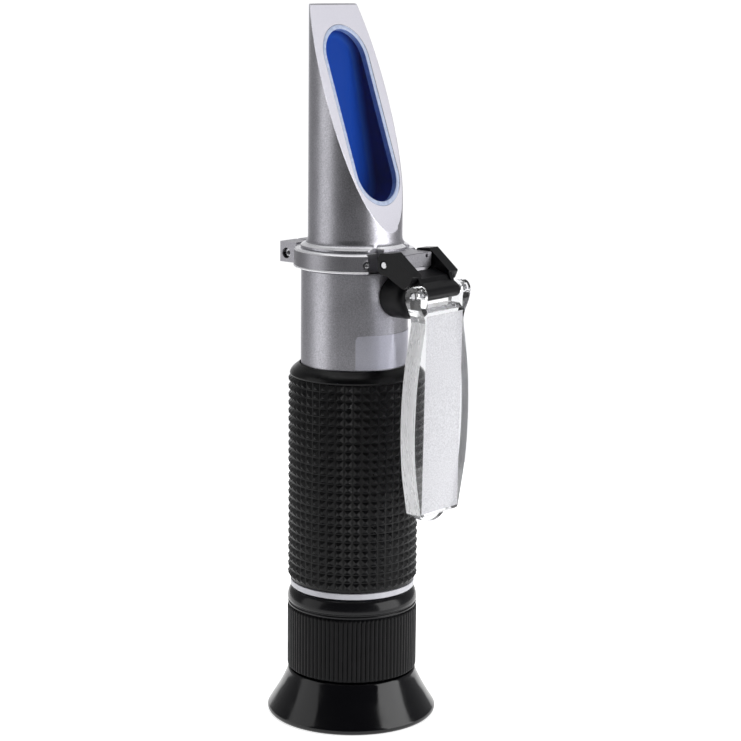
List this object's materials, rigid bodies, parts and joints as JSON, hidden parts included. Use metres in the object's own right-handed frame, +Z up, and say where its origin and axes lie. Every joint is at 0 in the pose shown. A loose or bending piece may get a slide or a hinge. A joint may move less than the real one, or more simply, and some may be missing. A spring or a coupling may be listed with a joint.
{
  "type": "refractometer",
  "caption": "Handheld optical refractometer: slanted blue prism window, silver tube, knurled grip, hinged clear plate, flared eyecup.",
  "frame": {"origin": "middle of the footprint box, on the surface the eyecup stands on", "axes": "+Z up the tube from the eyecup to the prism head; -Y towards the slanted prism face and the hanging daylight plate; +X to the right seen from the plate's side"},
  "size_m": [0.0404, 0.0468, 0.1676],
  "materials": {
    "satin_aluminium": "satin",
    "bright_aluminium": "satin",
    "steel": "polished",
    "brass": "polished",
    "black_anodised": "matte",
    "black_plastic": "gloss",
    "grip_rubber": "matte",
    "eyecup_rubber": "gloss",
    "cap_rubber": "matte",
    "trim_white": "gloss",
    "seal_resin": "gloss",
    "prism_glass": "polished",
    "optical_glass": "polished",
    "clear_acrylic": "clear",
    "label_film": "satin",
    "bimetal": "satin"
  },
  "bodies": {
    "barrel": {"main_tube": "satin_aluminium", "guide_sleeve": "black_anodised", "key_pin": "steel", "rubber_grip": "grip_rubber", "trim_ring": "trim_white", "tube_label": "label_film", "head_housing": "satin_aluminium", "main_prism": "prism_glass", "prism_seal": "seal_resin", "clamp_collar": "bright_aluminium", "clamp_screw": "steel", "collar_set_screw": "steel", "lug_pin": "steel", "calibration_boss": "bright_aluminium", "bimetal_strip": "bimetal", "bimetal_block": "bright_aluminium", "bimetal_screw": "steel", "light_baffle": "black_anodised", "reticle_holder": "black_anodised", "reticle_disc": "optical_glass", "reticle_retainer": "black_anodised"},
    "link": {"hinge_link": "black_plastic", "plate_pin": "steel"},
    "plate": {"daylight_plate": "clear_acrylic"},
    "cap": {"calibration_cap": "cap_rubber"},
    "adjuster": {"calibration_screw": "brass"},
    "objective": {"objective_cell": "black_anodised", "objective_lens": "optical_glass"},
    "eyepiece": {"eyepiece_barrel": "black_anodised", "eye_lens": "optical_glass", "field_lens": "optical_glass", "lens_spacer": "black_anodised", "lens_retainer": "black_anodised"},
    "focus": {"focus_ring": "black_plastic", "rubber_eyecup": "eyecup_rubber"}
  },
  "joints": [
    {"name": "link_swing", "type": "hinge", "parent": "barrel", "child": "link", "pos_m": [0, -0.01205, 0.1101], "axis": [-1, 0, 0], "range_deg": [0, 139.8]},
    {"name": "plate_swing", "type": "hinge", "parent": "link", "child": "plate", "pos_m": [0, -0.02126, 0.1041], "axis": [-1, 0, 0], "range_deg": [-6, 60.4]},
    {"name": "cap_pull", "type": "slide", "parent": "barrel", "child": "cap", "axis": [0, -1, 0], "range_m": [0, 0.003]},
    {"name": "adjuster_turn", "type": "hinge", "parent": "barrel", "child": "adjuster", "pos_m": [0, -0.01182, 0.1021], "axis": [0, -1, 0], "range_deg": [-180, 180]},
    {"name": "objective_shift", "type": "slide", "parent": "barrel", "child": "objective", "axis": [0, 1, 0], "range_m": [-0.00025, 0.00025]},
    {"name": "eyepiece_slide", "type": "slide", "parent": "barrel", "child": "eyepiece", "axis": [0, 0, -1], "range_m": [0, 0.004]},
    {"name": "focus_turn", "type": "hinge", "parent": "eyepiece", "child": "focus", "pos_m": [0, 0.00318, 0.02], "axis": [0, 0, 1], "range_deg": [0, 240]}
  ],
  "couplings": [
    {"joint": "eyepiece_slide", "follows": "focus_turn", "m_per_rad": 0.00095483},
    {"joint": "adjuster_turn", "follows": "objective_shift", "rad_per_m": 12565}
  ]
}
